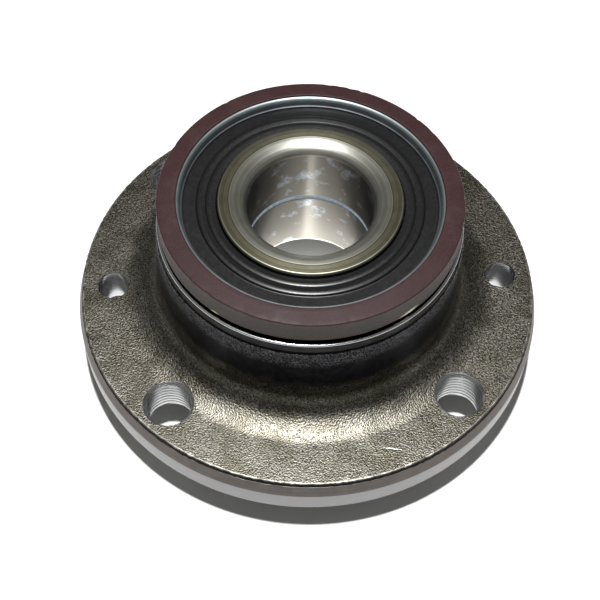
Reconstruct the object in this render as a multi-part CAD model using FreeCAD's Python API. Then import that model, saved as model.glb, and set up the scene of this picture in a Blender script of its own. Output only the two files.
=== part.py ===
"""Rear wheel hub unit: a flanged outer ring that turns on a double-row ball bearing.

All sizes are in millimetres. The hub axis is Z. The origin lies on that axis, on the flat
face of the flange that the brake drum and the wheel seat on, and +Z points inboard, from
the wheel towards the car. The outer ring carries the flange, the pilot for the wheel, both
outer raceways, the two seals and the magnetic encoder, and turns with the wheel. The two
inner rings butt together and stay still on the stub axle.
"""
import FreeCAD, Part
import math
import os

# Bearing: stub axle bore, inner rings and ball rows
BORE_DIAMETER = 30.0
BORE_TO_BALL_CENTRES = 7.27
INNER_RING_WIDTH = 18.25
INNER_LAND_DROP = 0.57
INNER_LOW_SHOULDER_HEIGHT = 0.7
INNER_EDGE_CHAMFER = 0.5
ENTRY_WIDTH = 4.0
ENTRY_DEPTH = 2.6
EXIT_CHAMFER = 1.2
JOINT_CHAMFER = 0.7
BALL_DIAMETER = 8.731
BALLS_PER_ROW = 13
ROW_TO_FACE = 9.95
RACE_CLEARANCE = 0.03
OUTER_SHOULDER_HEIGHT = 3.45
BEARING_SETBACK = 6.95

# Steps in radius of the outer ring, each counted from the surface inside it
OUTBOARD_SEAT_STEP = 0.2345
CAP_SEAT_STEP = 0.5
PILOT_WALL = 1.6
INBOARD_SEAT_STEP = 3.9345
ENCODER_WALL = 2.6
SHOULDER_STEP = 3.0
NECK_STEP = 1.0

# Flange, wheel pilot and rim of the outer ring
BOLT_EDGE_DISTANCE = 9.0
FLANGE_THICKNESS = 10.5
RIM_LAND_HEIGHT = 6.35
RIM_TAPER = 0.9
RIM_CHAMFER = 0.7
EDGE_DROP = 1.2
EDGE_ROUND_RADIUS = 1.3
PILOT_HEIGHT = 7.5
PILOT_CHAMFER = 0.7
PILOT_CHAMFER_LENGTH = 1.4
CAP_SEAT_DEPTH = 9.5
RECESS_CHAMFER = 0.5

# Holes in the flange
BOLT_CIRCLE_DIAMETER = 98.0
BOLT_HOLE_DIAMETER = 10.9
BOLT_HOLE_CHAMFER = 0.7
BOLT_HOLES = 4
FIRST_BOLT_ANGLE = 45.0
LOCATING_HOLE_DIAMETER = 7.5
LOCATING_HOLE_CHAMFER = 0.2
LOCATING_HOLES = 2
CUTTER_MARGIN = 5.0

# Neck of the outer ring, between the flange and the encoder
NECK_DRAFT = 0.6
NECK_FILLET_RADIUS = 9.6
LAND_HEIGHT = 2.0
LAND_STEP_HEIGHT = 0.5
LAND_CHAMFER = 0.8

# Encoder: magnet ring moulded on a pressed steel carrier
MAGNET_WALL = 1.7
MAGNET_REACH = 2.1
MAGNET_HEIGHT = 6.5
MAGNET_FACE_THICKNESS = 1.7
MAGNET_FACE_DROP = 0.5
MAGNET_PROUD = 1.25
MAGNET_EDGE_CHAMFER = 0.25
ENCODER_GAP = 1.3
CARRIER_SHEET = 0.8
CARRIER_LIP = 0.4
CARRIER_RIM_DROP = 0.4
SLEEVE_END_GAP = 0.6
SEAT_EDGE_CHAMFER = 0.35

# Seals
SEAL_SHEET = 0.8
CASE_SETBACK = 1.25
SEAL_BEND = 0.4
RUBBER_SETBACK = 1.45
SEAL_TO_CAGE_GAP = 0.3
SEAL_RIB_HEIGHT = 0.65
SEAL_RIB_BASE = 1.8
SEAL_RIB_CREST = 0.5
SEAL_RIB_PITCH = 2.4
FIRST_RIB_OFFSET = 2.0
INBOARD_SEAL_RIBS = 2
OUTBOARD_SEAL_RIBS = 1
CASE_EDGE_OFFSET = 2.5
LIP_CLEARANCE = 0.1
LIP_WIDTH = 0.4
LIP_RELIEF = 0.9

# Cages
CAGE_FLOOR = 0.78
CAGE_POCKET_CLEARANCE = 0.15
CAGE_RUNNING_GAP = 0.6
CAGE_FINGER_REACH = 2.4
CAGE_FINGER_THICKNESS = 2.8
CAGE_RING_START = 1.5

# Sides of the bearing along Z, and how close two points count as one
INBOARD = 1
OUTBOARD = -1
SAME_POINT = 1e-6

# Values worked out from the sizes above
BORE_RADIUS = BORE_DIAMETER / 2
BALL_RADIUS = BALL_DIAMETER / 2
PITCH_RADIUS = BORE_RADIUS + BORE_TO_BALL_CENTRES
GROOVE_RADIUS = BALL_RADIUS + RACE_CLEARANCE
INNER_LAND_RADIUS = PITCH_RADIUS - INNER_LAND_DROP
INNER_GROOVE_BOTTOM = PITCH_RADIUS - GROOVE_RADIUS
OUTER_GROOVE_BOTTOM = PITCH_RADIUS + GROOVE_RADIUS
OUTER_LAND_RADIUS = OUTER_GROOVE_BOTTOM - OUTER_SHOULDER_HEIGHT
CASE_EDGE_RADIUS = INNER_LAND_RADIUS + CASE_EDGE_OFFSET
OUTBOARD_SEAT_RADIUS = OUTER_GROOVE_BOTTOM + OUTBOARD_SEAT_STEP
CAP_SEAT_RADIUS = OUTBOARD_SEAT_RADIUS + CAP_SEAT_STEP
PILOT_RADIUS = CAP_SEAT_RADIUS + PILOT_WALL
INBOARD_SEAT_RADIUS = OUTER_GROOVE_BOTTOM + INBOARD_SEAT_STEP
ENCODER_SEAT_RADIUS = INBOARD_SEAT_RADIUS + ENCODER_WALL
LAND_RADIUS = ENCODER_SEAT_RADIUS + SHOULDER_STEP
NECK_RADIUS = LAND_RADIUS + NECK_STEP
MAGNET_INNER_RADIUS = ENCODER_SEAT_RADIUS - MAGNET_REACH
BOLT_CIRCLE_RADIUS = BOLT_CIRCLE_DIAMETER / 2
FLANGE_RADIUS = BOLT_CIRCLE_RADIUS + BOLT_EDGE_DISTANCE

# Heights of the inboard half, which the outboard half mirrors about the bearing's centre
ROW_OFFSET = INNER_RING_WIDTH - ROW_TO_FACE
BEARING_CENTRE = BEARING_SETBACK + INNER_RING_WIDTH
INBOARD_FACE = BEARING_CENTRE + INNER_RING_WIDTH
ROW_CENTRE = BEARING_CENTRE + ROW_OFFSET
CAGE_FACE = ROW_CENTRE + BALL_RADIUS + CAGE_POCKET_CLEARANCE + CAGE_FLOOR
SEAL_FLOOR = CAGE_FACE + SEAL_TO_CAGE_GAP
MAGNET_TOP = INBOARD_FACE + MAGNET_PROUD
MAGNET_BOTTOM = MAGNET_TOP - MAGNET_HEIGHT
CARRIER_TOP = MAGNET_TOP - MAGNET_FACE_THICKNESS
SEAT_END = CARRIER_TOP - CARRIER_SHEET
SHOULDER_FACE = MAGNET_BOTTOM - ENCODER_GAP
NECK_TOP = SHOULDER_FACE - LAND_CHAMFER - LAND_HEIGHT - LAND_STEP_HEIGHT


class Outline:
    """Closed outline in the half plane of radius and height, drawn point by point."""

    def __init__(self, radius, height):
        """Start the outline at one point."""
        self.first = FreeCAD.Vector(radius, 0, height)
        self.last = self.first
        self.edges = []

    def line(self, radius, height):
        """Draw a straight run to a point, unless the outline is there already."""
        point = FreeCAD.Vector(radius, 0, height)
        if point.distanceToPoint(self.last) > SAME_POINT:
            self.edges.append(Part.makeLine(self.last, point))
            self.last = point
        return self

    def arc(self, centre_radius, centre_height, size, start, end):
        """Draw an arc about a centre from one angle to another, in degrees from +radius."""
        middle = (start + end) / 2
        points = []
        for angle in (start, middle, end):
            turn = math.radians(angle)
            radius = centre_radius + size * math.cos(turn)
            height = centre_height + size * math.sin(turn)
            points.append(FreeCAD.Vector(radius, 0, height))
        self.line(points[0].x, points[0].z)
        self.edges.append(Part.Arc(self.last, points[1], points[2]).toShape())
        self.last = points[2]
        return self

    def turned(self):
        """Close the outline and turn it about the hub axis into a solid."""
        self.line(self.first.x, self.first.z)
        face = Part.Face(Part.Wire(self.edges))
        return face.revolve(FreeCAD.Vector(0, 0, 0), FreeCAD.Vector(0, 0, 1), 360)


def facing(shape, side):
    """Keep a piece drawn for the inboard row, or mirror it for the outboard one."""
    if side == INBOARD:
        return shape
    return shape.mirror(FreeCAD.Vector(0, 0, BEARING_CENTRE), FreeCAD.Vector(0, 0, 1))


def groove_angle(radius):
    """Give the angle from +radius, about a ball centre, where its groove has a radius."""
    return math.degrees(math.acos((radius - PITCH_RADIUS) / GROOVE_RADIUS))


def inner_ring(side, mouth_width, mouth_depth):
    """Make an inner ring: bore, low shoulder, ball groove and the land its seal runs on."""
    low_shoulder = INNER_GROOVE_BOTTOM + INNER_LOW_SHOULDER_HEIGHT
    outline = Outline(BORE_RADIUS, BEARING_CENTRE + JOINT_CHAMFER)
    outline.line(BORE_RADIUS + JOINT_CHAMFER, BEARING_CENTRE)
    outline.line(low_shoulder - INNER_EDGE_CHAMFER, BEARING_CENTRE)
    outline.line(low_shoulder, BEARING_CENTRE + INNER_EDGE_CHAMFER)
    start = 360 - groove_angle(low_shoulder)
    end = groove_angle(INNER_LAND_RADIUS)
    outline.arc(PITCH_RADIUS, ROW_CENTRE, GROOVE_RADIUS, start, end)
    outline.line(INNER_LAND_RADIUS, INBOARD_FACE - INNER_EDGE_CHAMFER)
    outline.line(INNER_LAND_RADIUS - INNER_EDGE_CHAMFER, INBOARD_FACE)
    outline.line(BORE_RADIUS + mouth_width, INBOARD_FACE)
    outline.line(BORE_RADIUS, INBOARD_FACE - mouth_depth)
    return facing(outline.turned(), side)


def draw_pilot_and_rim(outline):
    """Draw the outer ring's wheel side: recess mouth, pilot, flange face and turned rim."""
    outline.line(PILOT_RADIUS - PILOT_CHAMFER, -PILOT_HEIGHT)
    outline.line(PILOT_RADIUS, -PILOT_HEIGHT + PILOT_CHAMFER_LENGTH)
    outline.line(PILOT_RADIUS, 0)
    outline.line(FLANGE_RADIUS - RIM_CHAMFER, 0)
    outline.line(FLANGE_RADIUS, RIM_CHAMFER)
    outline.line(FLANGE_RADIUS, RIM_LAND_HEIGHT)
    return outline.line(FLANGE_RADIUS - RIM_TAPER, FLANGE_THICKNESS - EDGE_DROP)


def draw_flange_top_and_neck(outline):
    """Draw the forged side: rounded flange edge, flange top, neck fillet and drafted neck."""
    edge_angle = math.degrees(math.acos(1 - EDGE_DROP / EDGE_ROUND_RADIUS))
    edge_run = EDGE_ROUND_RADIUS * math.sin(math.radians(edge_angle))
    edge_centre = FLANGE_RADIUS - RIM_TAPER - edge_run
    outline.arc(
        edge_centre, FLANGE_THICKNESS - EDGE_ROUND_RADIUS, EDGE_ROUND_RADIUS, 90 - edge_angle, 90
    )
    outline.arc(
        NECK_RADIUS + NECK_FILLET_RADIUS,
        FLANGE_THICKNESS + NECK_FILLET_RADIUS,
        NECK_FILLET_RADIUS,
        270,
        180,
    )
    return outline.line(NECK_RADIUS - NECK_DRAFT, NECK_TOP)


def draw_encoder_seat(outline):
    """Draw the turned inboard end: land, shoulder face and the seat of the encoder."""
    outline.line(LAND_RADIUS, NECK_TOP + LAND_STEP_HEIGHT)
    outline.line(LAND_RADIUS, SHOULDER_FACE - LAND_CHAMFER)
    outline.line(LAND_RADIUS - LAND_CHAMFER, SHOULDER_FACE)
    outline.line(ENCODER_SEAT_RADIUS, SHOULDER_FACE)
    outline.line(ENCODER_SEAT_RADIUS, SEAT_END - SEAT_EDGE_CHAMFER)
    return outline.line(ENCODER_SEAT_RADIUS - SEAT_EDGE_CHAMFER, SEAT_END)


def draw_raceways(outline):
    """Draw the bore from the inboard seal seat, over both ball grooves, to the recess."""
    sweep = groove_angle(OUTER_LAND_RADIUS)
    outboard_row = BEARING_CENTRE - ROW_OFFSET
    outline.line(INBOARD_SEAT_RADIUS + SEAT_EDGE_CHAMFER, SEAT_END)
    outline.line(INBOARD_SEAT_RADIUS, SEAT_END - SEAT_EDGE_CHAMFER)
    outline.line(INBOARD_SEAT_RADIUS, SEAL_FLOOR)
    outline.line(OUTER_GROOVE_BOTTOM, SEAL_FLOOR)
    outline.arc(PITCH_RADIUS, ROW_CENTRE, GROOVE_RADIUS, 0, -sweep)
    outline.arc(PITCH_RADIUS, outboard_row, GROOVE_RADIUS, sweep, 0)
    outline.line(OUTER_GROOVE_BOTTOM, 2 * BEARING_CENTRE - SEAL_FLOOR)
    cap_seat_end = CAP_SEAT_DEPTH - PILOT_HEIGHT
    outline.line(OUTBOARD_SEAT_RADIUS, 2 * BEARING_CENTRE - SEAL_FLOOR)
    outline.line(OUTBOARD_SEAT_RADIUS, cap_seat_end)
    outline.line(CAP_SEAT_RADIUS, cap_seat_end)
    return outline.line(CAP_SEAT_RADIUS, -PILOT_HEIGHT + RECESS_CHAMFER)


def flange_hole(diameter, chamfer, angle):
    """Make the cutter of one hole through the flange, with its spot face and chamfers."""
    radius = diameter / 2
    wide = radius + chamfer
    drill = Part.makeCylinder(radius, FLANGE_THICKNESS)
    lower = Part.makeCone(wide, radius, chamfer)
    upper = Part.makeCone(radius, wide, chamfer)
    upper.translate(FreeCAD.Vector(0, 0, FLANGE_THICKNESS - chamfer))
    spot_face = Part.makeCylinder(wide, CUTTER_MARGIN)
    spot_face.translate(FreeCAD.Vector(0, 0, FLANGE_THICKNESS))
    cutter = drill.fuse([lower, upper, spot_face]).removeSplitter()
    cutter.translate(FreeCAD.Vector(BOLT_CIRCLE_RADIUS, 0, 0))
    cutter.rotate(FreeCAD.Vector(0, 0, 0), FreeCAD.Vector(0, 0, 1), angle)
    return cutter


def flange_holes():
    """Make the cutters of the wheel bolt holes and of the two locating holes."""
    cutters = []
    for number in range(BOLT_HOLES):
        angle = FIRST_BOLT_ANGLE + number * 360 / BOLT_HOLES
        cutters.append(flange_hole(BOLT_HOLE_DIAMETER, BOLT_HOLE_CHAMFER, angle))
    for number in range(LOCATING_HOLES):
        angle = number * 360 / LOCATING_HOLES
        cutters.append(flange_hole(LOCATING_HOLE_DIAMETER, LOCATING_HOLE_CHAMFER, angle))
    return cutters


def flanged_outer_ring():
    """Make the rotating outer ring: one forging with flange, pilot, neck and raceways."""
    outline = Outline(CAP_SEAT_RADIUS + RECESS_CHAMFER, -PILOT_HEIGHT)
    draw_pilot_and_rim(outline)
    draw_flange_top_and_neck(outline)
    draw_encoder_seat(outline)
    draw_raceways(outline)
    return outline.turned().cut(flange_holes())


def ball_centres(side):
    """Give the ball centres of a row, the outboard row staggered by half a pocket."""
    stagger = 0 if side == INBOARD else 0.5
    centres = []
    for number in range(BALLS_PER_ROW):
        turn = 2 * math.pi * (number + stagger) / BALLS_PER_ROW
        centres.append(
            FreeCAD.Vector(
                PITCH_RADIUS * math.cos(turn),
                PITCH_RADIUS * math.sin(turn),
                BEARING_CENTRE + side * ROW_OFFSET,
            )
        )
    return centres


def ball_cage(side):
    """Make a moulded cage: a ring at the seal side with fingers that reach round the balls."""
    inner = INNER_LAND_RADIUS + CAGE_RUNNING_GAP
    outer = OUTER_GROOVE_BOTTOM - CAGE_RUNNING_GAP
    finger_inner = PITCH_RADIUS - CAGE_FINGER_THICKNESS / 2
    finger_outer = PITCH_RADIUS + CAGE_FINGER_THICKNESS / 2
    ring_start = ROW_CENTRE + CAGE_RING_START
    outline = Outline(finger_inner, ROW_CENTRE - CAGE_FINGER_REACH)
    outline.line(finger_outer, ROW_CENTRE - CAGE_FINGER_REACH)
    outline.line(finger_outer, ROW_CENTRE)
    outline.line(outer, ring_start)
    outline.line(outer, CAGE_FACE)
    outline.line(inner, CAGE_FACE)
    outline.line(inner, ring_start)
    outline.line(finger_inner, ring_start)
    blank = facing(outline.turned(), side)
    pocket_radius = BALL_RADIUS + CAGE_POCKET_CLEARANCE
    pockets = []
    for centre in ball_centres(side):
        outward = FreeCAD.Vector(centre.x, centre.y, 0)
        start = FreeCAD.Vector(0, 0, centre.z)
        pockets.append(Part.makeCylinder(pocket_radius, OUTER_GROOVE_BOTTOM, start, outward))
    return blank.cut(pockets)


def seal_case(side, seat):
    """Make a seal's pressed steel case: a sleeve in its seat's radius and an inward flange."""
    outline = Outline(CASE_EDGE_RADIUS, SEAL_FLOOR)
    outline.line(seat - SEAL_BEND, SEAL_FLOOR)
    outline.line(seat, SEAL_FLOOR + SEAL_BEND)
    outline.line(seat, INBOARD_FACE - CASE_SETBACK)
    outline.line(seat - SEAL_SHEET, INBOARD_FACE - CASE_SETBACK)
    outline.line(seat - SEAL_SHEET, SEAL_FLOOR + SEAL_SHEET)
    outline.line(CASE_EDGE_RADIUS, SEAL_FLOOR + SEAL_SHEET)
    return facing(outline.turned(), side)


def seal_rubber(side, seat, ribs):
    """Make a seal's rubber: main lip, dust lip and raised ribs, moulded on its case."""
    tip = INNER_LAND_RADIUS + LIP_CLEARANCE
    root = tip + LIP_RELIEF
    top = INBOARD_FACE - RUBBER_SETBACK
    outline = Outline(tip, SEAL_FLOOR + LIP_WIDTH)
    outline.line(tip, SEAL_FLOOR + 2 * LIP_WIDTH)
    outline.line(root, (SEAL_FLOOR + top) / 2)
    outline.line(tip, top - 2 * LIP_WIDTH)
    outline.line(tip, top - LIP_WIDTH)
    outline.line(root, top)
    for number in range(ribs):
        centre = INNER_LAND_RADIUS + FIRST_RIB_OFFSET + number * SEAL_RIB_PITCH
        outline.line(centre - SEAL_RIB_BASE / 2, top)
        outline.line(centre - SEAL_RIB_CREST / 2, top + SEAL_RIB_HEIGHT)
        outline.line(centre + SEAL_RIB_CREST / 2, top + SEAL_RIB_HEIGHT)
        outline.line(centre + SEAL_RIB_BASE / 2, top)
    outline.line(seat - SEAL_SHEET, top)
    outline.line(seat - SEAL_SHEET, SEAL_FLOOR + SEAL_SHEET)
    outline.line(CASE_EDGE_RADIUS, SEAL_FLOOR + SEAL_SHEET)
    outline.line(CASE_EDGE_RADIUS, SEAL_FLOOR)
    outline.line(root, SEAL_FLOOR)
    return facing(outline.turned(), side)


def encoder_carrier():
    """Make the encoder's steel carrier: a sleeve, a lip over the seat's end and an inner rim."""
    sleeve = ENCODER_SEAT_RADIUS + CARRIER_SHEET
    lip = MAGNET_INNER_RADIUS - CARRIER_LIP
    outline = Outline(ENCODER_SEAT_RADIUS, SHOULDER_FACE + SLEEVE_END_GAP)
    outline.line(sleeve, SHOULDER_FACE + SLEEVE_END_GAP)
    outline.line(sleeve, CARRIER_TOP)
    outline.line(MAGNET_INNER_RADIUS, CARRIER_TOP)
    outline.line(MAGNET_INNER_RADIUS, MAGNET_TOP - CARRIER_RIM_DROP)
    outline.line(lip, MAGNET_TOP - CARRIER_RIM_DROP)
    outline.line(lip, SEAT_END)
    outline.line(ENCODER_SEAT_RADIUS, SEAT_END)
    return outline.turned()


def encoder_magnet():
    """Make the magnet ring that is moulded over the outside and the end of its carrier."""
    sleeve = ENCODER_SEAT_RADIUS + CARRIER_SHEET
    outer = sleeve + MAGNET_WALL
    outline = Outline(MAGNET_INNER_RADIUS, CARRIER_TOP)
    outline.line(MAGNET_INNER_RADIUS, MAGNET_TOP - MAGNET_EDGE_CHAMFER)
    outline.line(MAGNET_INNER_RADIUS + MAGNET_EDGE_CHAMFER, MAGNET_TOP)
    outline.line(outer - MAGNET_EDGE_CHAMFER, MAGNET_TOP - MAGNET_FACE_DROP)
    outline.line(outer, MAGNET_TOP - MAGNET_FACE_DROP - MAGNET_EDGE_CHAMFER)
    outline.line(outer, MAGNET_BOTTOM)
    outline.line(sleeve, MAGNET_BOTTOM)
    outline.line(sleeve, CARRIER_TOP)
    return outline.turned()


def build():
    """Make every piece of the hub, by the name of its file."""
    pieces = {
        "flanged_outer_ring": flanged_outer_ring(),
        "inboard_inner_ring": inner_ring(INBOARD, ENTRY_WIDTH, ENTRY_DEPTH),
        "outboard_inner_ring": inner_ring(OUTBOARD, EXIT_CHAMFER, EXIT_CHAMFER),
        "inboard_seal_case": seal_case(INBOARD, INBOARD_SEAT_RADIUS),
        "inboard_seal_rubber": seal_rubber(INBOARD, INBOARD_SEAT_RADIUS, INBOARD_SEAL_RIBS),
        "outboard_seal_case": seal_case(OUTBOARD, OUTBOARD_SEAT_RADIUS),
        "outboard_seal_rubber": seal_rubber(OUTBOARD, OUTBOARD_SEAT_RADIUS, OUTBOARD_SEAL_RIBS),
        "encoder_carrier": encoder_carrier(),
        "encoder_magnet": encoder_magnet(),
    }
    for row, side in (("inboard", INBOARD), ("outboard", OUTBOARD)):
        pieces[f"{row}_ball_cage"] = ball_cage(side)
        for number, centre in enumerate(ball_centres(side), start=1):
            pieces[f"{row}_ball_{number:02d}"] = Part.makeSphere(BALL_RADIUS, centre)
    return pieces


def main():
    """Build the hub and write one file for each piece."""
    os.makedirs("parts", exist_ok=True)
    for name, shape in build().items():
        if not shape.isValid() or len(shape.Solids) != 1:
            raise ValueError(f"{name} is not one sound solid")
        shape.exportStep(f"parts/{name}.step")


main()
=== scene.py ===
"""Rear wheel hub unit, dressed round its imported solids.

The hub lies wheel side down on white card, with the lamp straight above it. Sizes are in
millimetres until a mesh is made. The hub axis is Z, and height 0 is the flange's wheel face.
"""
import logging
import math
from dataclasses import dataclass
from enum import Enum

import bpy
import numpy as np
from mathutils import Matrix


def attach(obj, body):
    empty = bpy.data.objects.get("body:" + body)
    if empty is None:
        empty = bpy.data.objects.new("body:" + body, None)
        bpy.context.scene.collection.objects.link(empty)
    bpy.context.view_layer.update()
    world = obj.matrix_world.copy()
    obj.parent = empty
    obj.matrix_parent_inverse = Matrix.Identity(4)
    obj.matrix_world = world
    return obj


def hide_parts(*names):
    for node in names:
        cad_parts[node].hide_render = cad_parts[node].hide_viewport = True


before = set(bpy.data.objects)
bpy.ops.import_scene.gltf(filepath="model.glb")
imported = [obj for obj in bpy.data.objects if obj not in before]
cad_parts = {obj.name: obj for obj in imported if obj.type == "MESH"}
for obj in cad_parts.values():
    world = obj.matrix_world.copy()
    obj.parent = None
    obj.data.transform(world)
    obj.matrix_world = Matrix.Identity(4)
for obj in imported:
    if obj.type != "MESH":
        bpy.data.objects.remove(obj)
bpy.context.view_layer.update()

LOG = logging.getLogger("wheel_hub")
METRES = 0.001
TURN = 2 * math.pi
UP = (0.0, 0.0, 1.0)
TO_WORLD = {"vector_type": "VECTOR", "convert_from": "OBJECT", "convert_to": "WORLD"}
# How strong the finest octaves of a pattern are, and the share of round dents in a peened one
FINE_SHARE = 0.6
DENT_SHARE = 0.5
# Ranges that hold most and nearly all of a noise pattern's values
MOST = (0.35, 0.65)
NEARLY_ALL = (0.3, 0.7)
# Corners of an outline sharper than this, in degrees, are broken, by at most this share of a side
SHARP_CORNER = 25
CORNER_SHARE = 0.35
# Waves that add up to the unevenness of a forged skin
WAVES = 40


class Cut(Enum):
    """How a steel surface was made, which decides the direction of its marks."""

    BLASTED = "fine grain all over"
    PEENED = "round dents all over, from steel shot"
    TURNED = "rings round the hub axis"
    DRILLED = "rings round a line beside the hub axis"


class Side(Enum):
    """The two ends of the bearing, with the direction of each along the hub axis."""

    INBOARD = 1
    OUTBOARD = -1


def linear(code: str) -> tuple[float, float, float, float]:
    """Turn a colour into linear light.

    Args:
        code: sRGB colour as six hex digits.

    Returns:
        Linear red, green and blue, and an alpha of one.
    """
    channels = []
    for start in (0, 2, 4):
        value = int(code[start : start + 2], 16) / 255
        channels.append(value / 12.92 if value <= 0.04045 else ((value + 0.055) / 1.055) ** 2.4)
    return (channels[0], channels[1], channels[2], 1.0)


def add_node(
    tree: bpy.types.NodeTree,
    kind: str,
    inputs: dict | None = None,
    out: int | str = 0,
    **settings: object,
) -> bpy.types.NodeSocket | None:
    """Add a shader node with its settings and links.

    Args:
        tree: node tree that gets the node.
        kind: Blender's name of the node type, without its first word.
        inputs: input names or numbers, each with a value or with the socket that feeds it.
        out: name or number of the output that is wanted.
        settings: attributes of the node, with their values.

    Returns:
        The wanted output's socket, or None for a node without outputs.
    """
    node = tree.nodes.new(f"ShaderNode{kind}")
    for name, value in settings.items():
        setattr(node, name, value)
    for key, value in (inputs or {}).items():
        if isinstance(value, bpy.types.NodeSocket):
            tree.links.new(value, node.inputs[key])
        else:
            node.inputs[key].default_value = value
    return node.outputs[out] if node.outputs else None


def marks(tree: bpy.types.NodeTree, cut: Cut, width: float, detail: float) -> bpy.types.NodeSocket:
    """Add the pattern of a surface's marks, from its place on the object.

    Args:
        tree: node tree that gets the nodes.
        cut: how the surface was made.
        width: width of one mark in millimetres.
        detail: octaves of finer marks.

    Returns:
        Socket with the pattern, from 0 to 1.
    """
    place = add_node(tree, "TexCoord", out="Object")
    if cut is Cut.TURNED:
        flat = add_node(tree, "VectorMath", {0: place, 1: (1.0, 1.0, 0.0)}, operation="MULTIPLY")
        radius = add_node(tree, "VectorMath", {0: flat}, "Value", operation="LENGTH")
        height = add_node(tree, "SeparateXYZ", {0: place}, 2)
        place = add_node(tree, "CombineXYZ", {0: radius, 2: height})
    if cut is Cut.DRILLED:
        place = add_node(tree, "VectorMath", {0: place, 1: UP}, operation="MULTIPLY")
    pattern = {"Vector": place, "Scale": 1 / (width * METRES)}
    octaves = {**pattern, "Detail": detail, "Roughness": FINE_SHARE}
    noise = add_node(tree, "TexNoise", octaves, "Fac")
    if cut is not Cut.PEENED:
        return noise
    dents = add_node(tree, "TexVoronoi", pattern, "Distance")
    low = add_node(tree, "Math", {0: dents, 1: DENT_SHARE}, operation="MULTIPLY")
    return add_node(tree, "Math", {0: noise, 1: 1 - DENT_SHARE, 2: low}, operation="MULTIPLY_ADD")


def across_marks(tree: bpy.types.NodeTree, cut: Cut) -> bpy.types.NodeSocket:
    """Give the direction across a surface's marks: surface normal x (Z x place), or Z in a hole.

    Args:
        tree: node tree that gets the nodes.
        cut: how the surface was made.

    Returns:
        Socket with the direction.
    """
    if cut is Cut.DRILLED:
        return add_node(tree, "VectorTransform", {0: UP}, **TO_WORLD)
    place = add_node(tree, "TexCoord", out="Object")
    ring = add_node(tree, "VectorMath", {0: UP, 1: place}, operation="CROSS_PRODUCT")
    around = add_node(tree, "VectorTransform", {0: ring}, **TO_WORLD)
    normal = add_node(tree, "NewGeometry", out="Normal")
    across = add_node(tree, "VectorMath", {0: normal, 1: around}, operation="CROSS_PRODUCT")
    return add_node(tree, "VectorMath", {0: across}, operation="NORMALIZE")


@dataclass(frozen=True)
class BrightPatch:
    """A bright patch, for a scratch rubbed to bright metal and for a painted reflection: an
    ellipsoid, in millimetres and degrees.
    """

    centre: tuple[float, float, float]
    size: tuple[float, float, float]
    turn: float
    tilt: float = 0.0
    colour: str = "F0EEE6"
    core: float = 0.3
    metal: float = 0.6

    def rub(self, tree: bpy.types.NodeTree, colour: bpy.types.NodeSocket, metal: object) -> tuple:
        """Make a surface bright inside the ellipsoid, from nothing at its edge to all at its core: a
        rub to bright metal on a scratch, and a painted reflection on the encoder.

        Args:
            tree: node tree that gets the nodes.
            colour: colour of the surface so far.
            metal: how metallic it is so far, as a number or a socket.

        Returns:
            The new colour, and the new metal where it was a number below one.
        """
        ellipsoid = {
            "Vector": add_node(tree, "TexCoord", out="Object"),
            "Location": tuple(value * METRES for value in self.centre),
            "Rotation": (0.0, math.radians(self.tilt), math.radians(self.turn)),
            "Scale": tuple(value * METRES for value in self.size),
        }
        inside = add_node(tree, "Mapping", ellipsoid, vector_type="TEXTURE")
        far = add_node(tree, "VectorMath", {0: inside}, "Value", operation="LENGTH")
        share = add_node(tree, "MapRange", {0: far, 1: 1.0, 2: self.core})
        over = {0: share, 6: colour, 7: linear(self.colour)}
        colour = add_node(tree, "Mix", over, 2, data_type="RGBA")
        if not isinstance(metal, bpy.types.NodeSocket) and metal < 1:
            metal = add_node(tree, "MapRange", {0: share, 3: metal, 4: self.metal})
        return colour, metal


class Finish:
    """A finish with a name, whose surface is built by its own kind."""

    name: str
    made: dict[str, bpy.types.Material] = {}

    def shade(self, tree: bpy.types.NodeTree) -> bpy.types.NodeSocket:
        """Build the surface and give the socket with it.

        Args:
            tree: node tree that gets the nodes.

        Returns:
            Socket with the shaded surface.
        """
        raise NotImplementedError

    def material(self) -> bpy.types.Material:
        """Give the finish's material, built when it is first asked for.

        Returns:
            The material.
        """
        if self.name not in Finish.made:
            made = bpy.data.materials.new(self.name)
            made.use_nodes = True
            made.node_tree.nodes.clear()
            add_node(made.node_tree, "OutputMaterial", {"Surface": self.shade(made.node_tree)})
            Finish.made[self.name] = made
        return Finish.made[self.name]


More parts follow.
